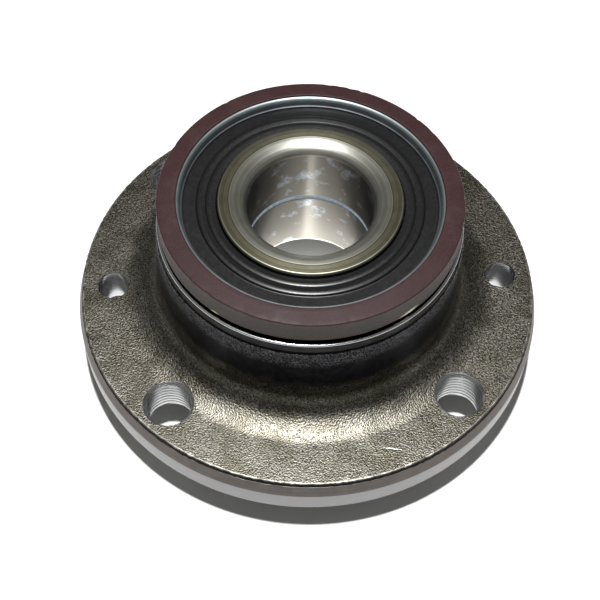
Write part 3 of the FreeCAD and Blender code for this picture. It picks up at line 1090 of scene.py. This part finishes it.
    def threaded_hole(self, degrees: float) -> Surface:
        """Make the cutter of a wheel bolt hole.

        The wall's radius is the core plus the thread's depth times a wave of the share
        z / pitch - a / turn, cut flat at the crest and the root, and never less than the
        chamfers at both mouths.

        Args:
            degrees: the hole's angle round the hub.

        Returns:
            The hole's cutter.
        """
        columns = 60
        low = np.array([-2.0, -0.02])
        wall = np.arange(0, self.flange_top + 0.05, self.thread_pitch / 8)
        high = np.array([self.flange_top + 0.15, self.flange_top + 6])
        height = np.concatenate([low, wall, high])[:, None]
        angle = np.linspace(0, TURN, columns, endpoint=False)[None, :]
        share = (height / self.thread_pitch - angle / TURN) % 1.0
        wave = np.clip(1.0 - np.abs(share - 0.5) * 6, 0, 1)
        radius = self.bolt_core + self.thread_depth * wave
        mouth = np.maximum(height - self.flange_top, -height) + self.bolt_chamfer
        wide = self.bolt_core + np.clip(mouth, -1, self.bolt_chamfer)
        radius = np.maximum(np.where(mouth < self.bolt_chamfer, radius, 0), wide)
        return self.placed_hole(radius, height, angle, degrees, self.THREAD)

    def smooth_hole(self, degrees: float) -> Surface:
        """Make the cutter of a locating hole: a plain wall with a small chamfer at each mouth.

        Args:
            degrees: the hole's angle round the hub.

        Returns:
            The hole's cutter.
        """
        low = np.array([-2.0, 0.0, self.pin_chamfer])
        high = np.array([self.flange_top - self.pin_chamfer, self.flange_top, self.flange_top + 6])
        height = np.concatenate([low, np.linspace(2, 8, 4), high])[:, None]
        angle = np.linspace(0, TURN, 48, endpoint=False)[None, :]
        mouth = np.maximum(height - self.flange_top, -height) + self.pin_chamfer
        radius = self.pin_hole + np.clip(mouth, 0, self.pin_chamfer) + 0 * angle
        return self.placed_hole(radius, height, angle, degrees, self.REAMED)

    def placed_hole(
        self, radius: np.ndarray, height: np.ndarray, angle: np.ndarray, degrees: float, finish: int
    ) -> Surface:
        """Stand a hole's wall on the bolt circle and cap it.

        Args:
            radius: radius of each of the wall's points.
            height: heights of its rings, in a column.
            angle: angles of its columns round the hole.
            degrees: the hole's angle round the hub.
            finish: number of its finish.

        Returns:
            The hole's cutter.
        """
        turn = math.radians(degrees)
        across = self.bolt_circle * math.cos(turn) + radius * np.cos(angle)
        back = self.bolt_circle * math.sin(turn) + radius * np.sin(angle)
        return capped(np.stack([across, back, height + 0 * angle], -1), finish)

    def make(self) -> None:
        """Build the ring, cut its six holes and settle it."""
        order = [FORGED_SKIN, OILED_LAND, SCALE_AND_SHADE_SKIN, RIM_LAND, RIM_TAPER, TURNED, HONED, DRILLED]
        order += [RUBBED_EDGE_AND_HIGHLIGHT_SKIN, BEVEL, REAMED]
        materials = [finish.material() for finish in order]
        piece = make_object("finished_flanged_outer_ring", self.surface(), materials)
        holes = [self.threaded_hole(degrees) for degrees in self.bolt_angles]
        holes += [self.smooth_hole(degrees) for degrees in self.pin_angles]
        cut_away(piece, make_object("hole_cutter", joined(holes), materials))
        settle(piece, "flanged_outer_ring", "rotating_hub")


@dataclass
class InnerRings:
    """The two inner rings that butt together on the stub axle."""

    bearing: Bearing
    entry: tuple[float, float] = (4.0, 2.6)
    leaving: tuple[float, float] = (1.2, 1.2)
    joint: float = 0.7
    low_shoulder: float = 0.7
    edge: float = 0.5
    broken: float = 0.12
    segments: int = 256

    FACE = 0
    BORE = 1
    MOUTH = 2
    RACE = 3
    EDGE = 4
    GREASE = 5

    def surface(self, side: Side) -> Surface:
        """Turn an inner ring: bore, joint face, groove, land, end face and rounded entry.

        Args:
            side: end of the bearing.

        Returns:
            The ring.
        """
        shape = self.bearing
        wide, deep = self.entry if side is Side.INBOARD else self.leaving
        low = shape.pitch - shape.groove + self.low_shoulder
        drawn = Profile(shape.bore, shape.centre + self.joint)
        drawn.line(shape.bore + self.joint, shape.centre, self.GREASE)
        drawn.path(self.FACE, (low - self.edge, shape.centre), (low, shape.centre + self.edge))
        start = 360 - math.degrees(math.acos((low - shape.pitch) / shape.groove))
        end = math.degrees(math.acos((shape.land - shape.pitch) / shape.groove))
        drawn.arc((shape.pitch, shape.row), shape.groove, start, end, self.RACE, 18)
        drawn.line(shape.land, shape.face - self.edge, self.RACE)
        drawn.arc((shape.land - self.edge, shape.face - self.edge), self.edge, 0, 90, self.EDGE, 6)
        drawn.line(shape.bore + wide, shape.face, self.FACE)
        turn = np.linspace(0, math.pi / 2, 13)[1:]
        across = shape.bore + wide - wide * np.sin(turn)
        drawn.curve(across, shape.face - deep + deep * np.cos(turn), self.MOUTH)
        outline, tags = drawn.closed(self.BORE, self.broken)
        return shape.placed(turned(outline, tags, self.segments), side)

    def make(self) -> None:
        """Build and settle both rings."""
        order = (GROUND, BORE, MOUTH, HONED, GROUND_EDGE, GREASE)
        materials = [finish.material() for finish in order]
        for side in Side:
            node = f"{side.name.lower()}_inner_ring"
            piece = make_object(f"finished_{node}", self.surface(side), materials)
            settle(piece, node, "inner_rings")


@dataclass
class Seal:
    """One seal: a pressed steel case and the rubber moulded on it."""

    bearing: Bearing
    side: Side
    seat: float
    ribs: int
    sheet: float = 0.8
    setback: float = 1.25
    rubber_setback: float = 1.45
    bend: float = 0.4
    case_edge: float = 24.2
    lip_gap: float = 0.1
    lip_width: float = 0.4
    lip_relief: float = 0.9
    rib_height: float = 0.6
    rib_step: float = 0.7
    rib_round: tuple[float, float] = (1.1, 0.3)
    first_rib: float = 2.65
    rib_pitch: float = 2.15
    rib_back: float = 0.1
    case_broken: float = 0.15
    rubber_broken: float = 0.12
    segments: int = 240

    def case(self) -> Surface:
        """Turn the case: a sleeve in its seat, a bend and a flange.

        Returns:
            The case, at its own end.
        """
        shape = self.bearing
        end = shape.face - self.setback
        drawn = Profile(self.case_edge, shape.seal_floor)
        drawn.line(self.seat - self.bend, shape.seal_floor, 0)
        drawn.arc((self.seat - self.bend, shape.seal_floor + self.bend), self.bend, 270, 360, 0, 5)
        drawn.path(
            0,
            (self.seat, end),
            (self.seat - self.sheet, end),
            (self.seat - self.sheet, shape.seal_floor + self.sheet),
            (self.case_edge, shape.seal_floor + self.sheet),
        )
        outline, tags = drawn.closed(0, self.case_broken)
        return shape.placed(turned(outline, tags, self.segments), self.side)

    def rubber(self) -> Surface:
        """Turn the rubber: two lips on the inner ring's land, and round ribs on its outer face.

        Returns:
            The rubber, at its own end.
        """
        shape = self.bearing
        tip = shape.land + self.lip_gap
        root = tip + self.lip_relief
        top = shape.face - self.rubber_setback
        drawn = Profile(tip, shape.seal_floor + self.lip_width)
        drawn.path(
            0,
            (tip, shape.seal_floor + 2 * self.lip_width),
            (root, (shape.seal_floor + top) / 2),
            (tip, top - 2 * self.lip_width),
            (tip, top - self.lip_width),
            (tip + 0.5 * self.lip_width, top + self.rib_step * self.rib_height),
        )
        turn = np.linspace(0, math.pi / 2, 8)
        for number in range(self.ribs):
            crest = shape.land + self.first_rib + number * self.rib_pitch
            wide, high = self.rib_round
            across = crest - wide + wide * np.sin(turn)
            rise = top + self.rib_height - high * (1 - np.cos(turn))
            drawn.curve(across, rise, 0)
            floor = self.rib_step * self.rib_height if number + 1 < self.ribs else 0.0
            drawn.line(crest + self.rib_back, top + floor, 0)
        drawn.line(self.seat - self.sheet, top, 0, 0.5)
        drawn.path(
            0,
            (self.seat - self.sheet, shape.seal_floor + self.sheet),
            (self.case_edge, shape.seal_floor + self.sheet),
            (self.case_edge, shape.seal_floor),
            (root, shape.seal_floor),
        )
        outline, tags = drawn.closed(0, self.rubber_broken)
        return shape.placed(turned(outline, tags, self.segments), self.side)

    def make(self) -> None:
        """Build and settle the case and the rubber."""
        name = self.side.name.lower()
        case = make_object(f"finished_{name}_seal_case", self.case(), [PRESSED.material()])
        settle(case, f"{name}_seal_case", "rotating_hub")
        rubber = make_object(f"finished_{name}_seal_rubber", self.rubber(), [NITRILE.material()])
        settle(rubber, f"{name}_seal_rubber", "rotating_hub")


@dataclass
class Encoder:
    """The magnet ring for the wheel speed sensor and the steel carrier that it is moulded on."""

    seat: float = 33.2
    sheet: float = 0.8
    wall: float = 1.7
    inner: float = 31.1
    rim_round: tuple[float, float] = (0.9, 1.3)
    seat_end: float = 42.2
    carrier_low: float = 37.5
    carrier_top: float = 43.0
    low: float = 38.5
    top: float = 44.7
    drop: float = 0.5
    rim_drop: float = 0.4
    edge: float = 0.25
    broken: float = 0.1
    segments: int = 480

    def carrier(self) -> Surface:
        """Turn the carrier: a sleeve on the outer ring and a lip over its end.

        Returns:
            The carrier.
        """
        drawn = Profile(self.seat, self.carrier_low)
        drawn.path(
            0,
            (self.seat + self.sheet, self.carrier_low),
            (self.seat + self.sheet, self.carrier_top),
            (self.inner, self.carrier_top),
        )
        wide, high = self.rim_round
        turn = np.linspace(0, math.pi / 2, 13)
        drop = self.rim_drop + high * (1 - np.cos(turn))
        drawn.curve(self.inner - wide * np.sin(turn), self.top - drop, 0)
        drawn.path(0, (self.inner - wide, self.seat_end), (self.seat, self.seat_end))
        outline, tags = drawn.closed(0, self.broken)
        return turned(outline, tags, 240)

    def magnet(self) -> Surface:
        """Turn the magnet ring, with small chips along its outer top edge.

        A chip is a bell curve of the angle from its middle, taken off the edge's points.

        Returns:
            The magnet.
        """
        outer = self.seat + self.sheet + self.wall
        shelf = self.top - self.drop
        drawn = Profile(self.seat + self.sheet, self.low)
        drawn.line(outer, self.low, 1)
        drawn.line(outer, shelf - self.edge, 1, 1.2)
        drawn.line(outer - self.edge, shelf, 0)
        drawn.line(self.inner + self.edge, self.top, 0, 1.2)
        drawn.path(
            0,
            (self.inner, self.top - self.edge),
            (self.inner, self.carrier_top),
            (self.seat + self.sheet, self.carrier_top),
        )
        outline, tags = drawn.closed(1, self.broken)
        angle = np.linspace(0, TURN, self.segments, endpoint=False)[None, :]
        near = (outline[:, :1] > outer - 0.6) & (outline[:, 1:] > shelf - 0.9)
        draw = np.random.default_rng(21)
        bite = np.zeros((1, self.segments))
        for middle, width in zip(draw.uniform(0, TURN, 22), draw.uniform(0.008, 0.03, 22)):
            apart = (angle - middle + math.pi) % TURN - math.pi
            bite += draw.uniform(0.05, 0.16) * np.exp(-((apart / width) ** 2))
        shift = np.zeros((len(outline), self.segments, 2))
        shift[..., 0] -= near * bite
        shift[..., 1] -= near * bite * 0.6
        return turned(outline, tags, self.segments, shift)

    def make(self) -> None:
        """Build and settle the carrier and the magnet."""
        carrier = make_object("finished_encoder_carrier", self.carrier(), [ROLLED.material()])
        settle(carrier, "encoder_carrier", "rotating_hub")
        materials = [MAGNET_END.material(), MAGNET_SIDE.material()]
        magnet = make_object("finished_encoder_magnet", self.magnet(), materials)
        settle(magnet, "encoder_magnet", "rotating_hub")


@dataclass
class BallRow:
    """One row of the bearing: its balls and the moulded cage that spaces them."""

    bearing: Bearing
    side: Side
    floor: float = 0.78
    clearance: float = 0.15
    running_gap: float = 0.6
    finger_reach: float = 2.4
    finger: float = 2.8
    ring_start: float = 1.5
    broken: float = 0.25

    def angles(self) -> np.ndarray:
        """Angles of the balls, the outboard row staggered by half a pocket."""
        stagger = 0.0 if self.side is Side.INBOARD else 0.5
        return TURN * (np.arange(self.bearing.balls) + stagger) / self.bearing.balls

    def ball(self, angle: float) -> Surface:
        """Make a ball: rings of radius r cos b at height r sin b, capped at both poles.

        Args:
            angle: the ball's angle round the hub, in radians.

        Returns:
            The ball.
        """
        shape = self.bearing
        lift = np.radians(np.linspace(-84, 84, 20))[:, None]
        around = np.linspace(0, TURN, 32, endpoint=False)[None, :]
        x = shape.pitch * math.cos(angle) + shape.ball * np.cos(lift) * np.cos(around)
        y = shape.pitch * math.sin(angle) + shape.ball * np.cos(lift) * np.sin(around)
        middle = shape.centre + self.side.value * shape.row_offset
        z = middle + shape.ball * np.sin(lift) + 0 * around
        surface = capped(np.stack([x, y, z], -1), 0)
        poles = surface.points[-2:]
        poles[:, 2] = middle + shape.ball * np.array([-1, 1])
        return surface

    def cage_blank(self) -> Surface:
        """Turn the cage before its pockets: a ring at the seal side and the wall of its fingers.

        Returns:
            The cage's blank.
        """
        shape = self.bearing
        inner = shape.land + self.running_gap
        outer = shape.pitch + shape.groove - self.running_gap
        low, high = shape.pitch - self.finger / 2, shape.pitch + self.finger / 2
        end = shape.row + shape.ball + self.clearance + self.floor
        start = shape.row + self.ring_start
        drawn = Profile(low, shape.row - self.finger_reach)
        drawn.path(
            0,
            (high, shape.row - self.finger_reach),
            (high, shape.row),
            (outer, start),
            (outer, end),
            (inner, end),
            (inner, start),
            (low, start),
        )
        outline, tags = drawn.closed(0, self.broken)
        return shape.placed(turned(outline, tags, 208), self.side)

    def pocket(self, angle: float) -> Surface:
        """Make a pocket's cutter: a round bar from the hub axis out through a ball's centre.

        Args:
            angle: the ball's angle round the hub, in radians.

        Returns:
            The cutter.
        """
        shape = self.bearing
        size = shape.ball + self.clearance
        around = np.linspace(0, TURN, 40, endpoint=False)[None, :]
        reach = np.array([15.0, 32.0])[:, None]
        side = size * np.cos(around)
        x = reach * math.cos(angle) - side * math.sin(angle)
        y = reach * math.sin(angle) + side * math.cos(angle)
        z = shape.centre + self.side.value * shape.row_offset + size * np.sin(around) + 0 * reach
        return capped(np.stack([x, y, z], -1), 0)

    def make(self) -> None:
        """Build and settle the cage and its balls."""
        name = self.side.name.lower()
        nylon = [NYLON.material()]
        cage = make_object(f"finished_{name}_ball_cage", self.cage_blank(), nylon)
        pockets = joined([self.pocket(angle) for angle in self.angles()])
        cut_away(cage, make_object("pocket_cutter", pockets, nylon))
        settle(cage, f"{name}_ball_cage", f"{name}_cage")
        for number, angle in enumerate(self.angles(), start=1):
            node = f"{name}_ball_{number:02d}"
            ball = make_object(f"finished_{node}", self.ball(angle), [LAPPED.material()])
            settle(ball, node, node, 60.0)


@dataclass
class Studio:
    """The card that the hub lies on, the lamp above, two faint lights below and the camera."""

    floor_height: float = -7.5
    floor_radius: float = 9000.0
    card: str = "F4F4F2"
    lamp_irradiance: float = 4.2
    lamp_width: float = 45.0
    lamp_height: float = 950.0
    lamp_side: float = -17.0
    room: str = "6A6A67"
    glow_width: float = 28.0
    glow_height: float = -1.0
    glow_power: float = 0.007
    strip: tuple[float, float] = (3.5, 26.0)
    strip_power: float = 0.0024
    strip_gap: float = 0.5
    camera_elevation: float = 56.02
    camera_roll: float = 1.546
    hub_turn: float = 3.78
    lens: float = 72.5
    eye: tuple[float, float, float] = (-13.43, -175.11, 261.747)

    def lay_floor(self) -> None:
        """Lay a flat round of white card: rings of radius R k for a few shares k."""
        angle = np.linspace(0, TURN, 64, endpoint=False)[None, :]
        reach = np.array([self.floor_radius, self.floor_radius * 0.5])[:, None]
        x, y = reach * np.cos(angle), reach * np.sin(angle)
        surface = capped(np.stack([x, y, np.full_like(x, self.floor_height)], -1), 0)
        keep = np.concatenate([np.ones(64, bool), np.zeros(64, bool), np.ones(64, bool)])
        flat = Surface(surface.points, surface.quads, surface.triangles[64:], surface.finish[keep])
        card = bpy.data.materials.new("white_card")
        card.use_nodes = True
        shader = card.node_tree.nodes["Principled BSDF"]
        shader.inputs["Base Color"].default_value = linear(self.card)
        shader.inputs["Roughness"].default_value = 0.9
        shader.inputs["Specular IOR Level"].default_value = 0.1
        make_object("floor", flat, [card])

    def hang_lights(self) -> None:
        """Hang a small lamp straight above the hub in a dim room.

        Two faint ones under the bore stand for the light that gathers on the card there: a
        disc that lights the card, and a strip on the card that gives the bore its bright streak.
        """
        away = self.lamp_height * METRES
        watts = self.lamp_irradiance * math.pi * away**2
        high = self.lamp_height + self.floor_height
        self.hang("lamp", watts, (self.lamp_width,), high, self.lamp_side)
        self.hang("light_under_the_bore", self.glow_power, (self.glow_width,), self.glow_height)
        low = self.floor_height + self.strip_gap
        strip = self.hang("strip_on_the_card", self.strip_power, self.strip, low)
        strip.rotation_euler = (math.pi, 0, 0)
        strip.visible_camera = False
        world = bpy.data.worlds.new("room")
        world.use_nodes = True
        back = world.node_tree.nodes["Background"]
        back.inputs["Color"].default_value = linear(self.room)
        back.inputs["Strength"].default_value = 1.0
        bpy.context.scene.world = world

    def hang(
        self, name: str, watts: float, size: tuple, height: float, side: float = 0.0
    ) -> bpy.types.Object:
        """Hang an area light that faces down.

        Args:
            name: name of the light.
            watts: its power.
            size: diameter of a disc, or the two sides of a rectangle, in millimetres.
            height: its height.
            side: its place along X.

        Returns:
            The light's object.
        """
        light = bpy.data.lights.new(name, "AREA")
        light.shape = "RECTANGLE" if len(size) > 1 else "DISK"
        light.size = size[0] * METRES
        light.size_y = size[-1] * METRES
        light.energy = watts
        holder = bpy.data.objects.new(name, light)
        holder.location = (side * METRES, 0, height * METRES)
        bpy.context.scene.collection.objects.link(holder)
        return holder

    def spin(self, degrees: float) -> np.ndarray:
        """Give a turn about the third axis: rows (cos, -sin, 0), (sin, cos, 0), (0, 0, 1).

        Args:
            degrees: the turn.

        Returns:
            The three rows.
        """
        turn = math.radians(degrees)
        flat = [[math.cos(turn), -math.sin(turn), 0], [math.sin(turn), math.cos(turn), 0]]
        return np.array([*flat, [0, 0, 1]])

    def set_camera(self) -> None:
        """Place the camera where the photograph was taken from.

        Its rows are right, down and ahead: a turn of the hub about Z, then the tilt down by
        the elevation, then the roll about the line of sight.
        """
        lift = math.radians(self.camera_elevation)
        down, ahead = math.sin(lift), math.cos(lift)
        tilt = np.array([[1, 0, 0], [0, -down, -ahead], [0, ahead, -down]])
        rows = self.spin(self.camera_roll) @ tilt @ self.spin(self.hub_turn)
        data = bpy.data.cameras.new("camera")
        data.lens = self.lens
        data.clip_start = 0.01
        data.clip_end = 50.0
        camera = bpy.data.objects.new("camera", data)
        place = Matrix(np.array([rows[0], -rows[1], -rows[2]]).T.tolist()).to_4x4()
        place.translation = [value * METRES for value in self.eye]
        camera.matrix_world = place
        bpy.context.scene.collection.objects.link(camera)
        bpy.context.scene.camera = camera

    def set_view(self) -> None:
        """Show the light as it is, with no film look."""
        view = bpy.context.scene.view_settings
        view.view_transform = "Standard"
        view.look = "None"

    def make(self) -> None:
        """Set up the whole studio."""
        self.lay_floor()
        self.hang_lights()
        self.set_camera()
        self.set_view()


def main() -> None:
    """Build the hub's pieces in order, and the studio."""
    logging.basicConfig(level=logging.INFO, format="%(message)s")
    bearing = Bearing()
    FlangedRing(bearing).make()
    InnerRings(bearing).make()
    Seal(bearing, Side.INBOARD, bearing.inboard_seat, 2).make()
    Seal(bearing, Side.OUTBOARD, bearing.outboard_seat, 1).make()
    Encoder().make()
    BallRow(bearing, Side.INBOARD).make()
    BallRow(bearing, Side.OUTBOARD).make()
    Studio().make()


if __name__ == "__main__":
    main()
